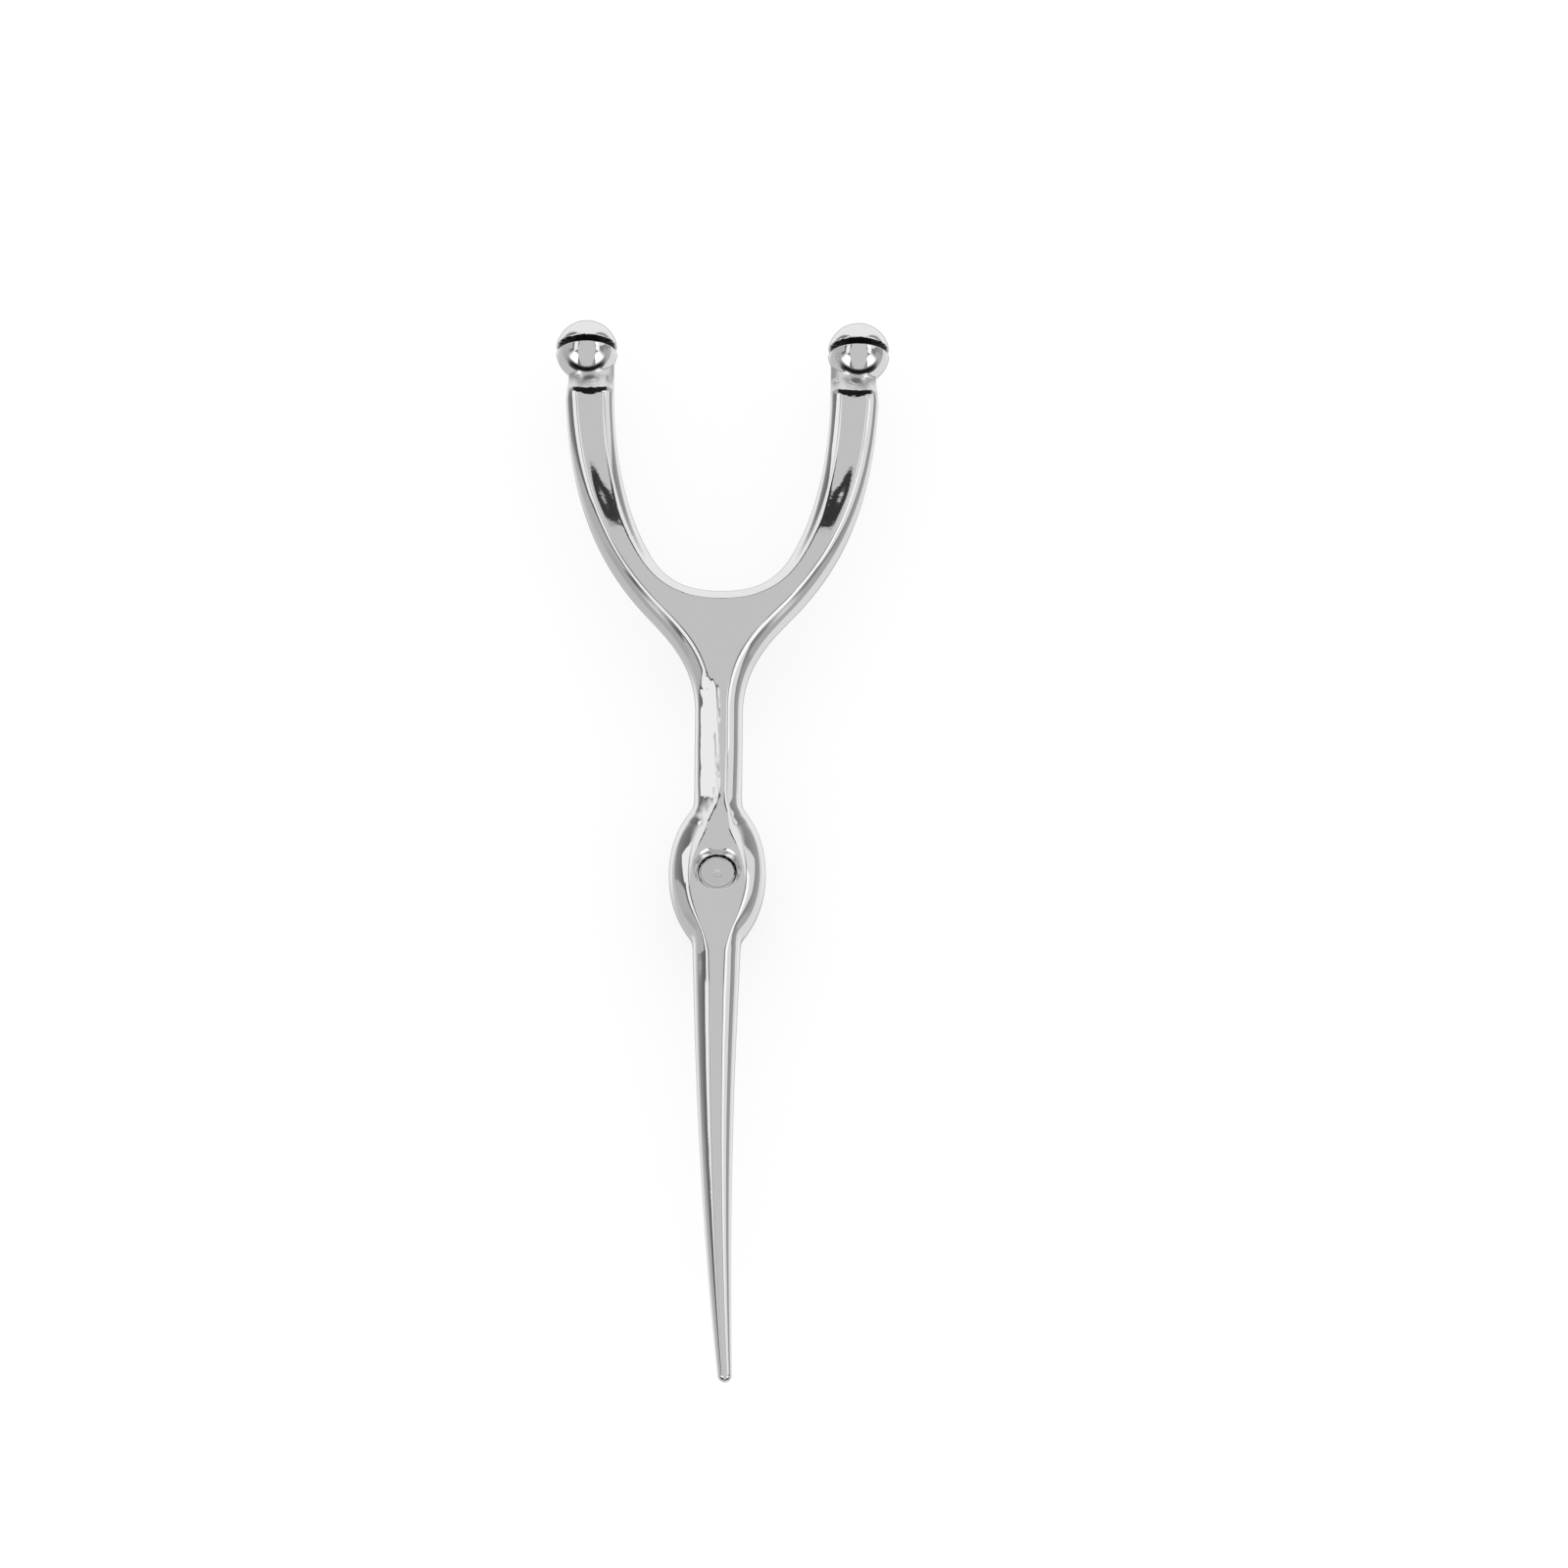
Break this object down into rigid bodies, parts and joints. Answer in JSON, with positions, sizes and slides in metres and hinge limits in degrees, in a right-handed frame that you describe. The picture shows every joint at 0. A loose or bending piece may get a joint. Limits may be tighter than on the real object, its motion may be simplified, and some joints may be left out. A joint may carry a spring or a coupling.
{
  "type": "floss holder",
  "caption": "Y-shaped bright-plated holder with grooved ball ends, an oval boss with a thumb screw that pinches the thread, and a long round pick tail.",
  "frame": {"origin": "centre of the bounding box in X and Y, at the level of the screw head's flat face", "axes": "+Y along the tool from the pick tip to the grooved balls, +Z out of the front face, away from the screw head, +X across the fork"},
  "size_m": [0.023, 0.08, 0.006],
  "materials": {
    "bright_plating": "polished bright plating over a die casting",
    "washer_steel": "plain pressed washer, lightly brushed",
    "turned_metal": "turned and plated, fine lathe marks"
  },
  "bodies": {
    "fork": {"fork_body": "bright_plating"},
    "washer": {"clamp_washer": "washer_steel"},
    "screw": {"thumb_screw": "turned_metal"}
  },
  "joints": [
    {"name": "clamp_travel", "type": "slide", "parent": "fork", "child": "washer", "axis": [0, 0, -1], "range_m": [0, 0.0015]},
    {"name": "knob_turn", "type": "hinge", "parent": "washer", "child": "screw", "pos_m": [0, -0.00245, 0], "axis": [0, 0, -1], "range_deg": [0, 1080]}
  ],
  "couplings": [
    {"joint": "knob_turn", "follows": "clamp_travel", "rad_per_m": 12566}
  ]
}
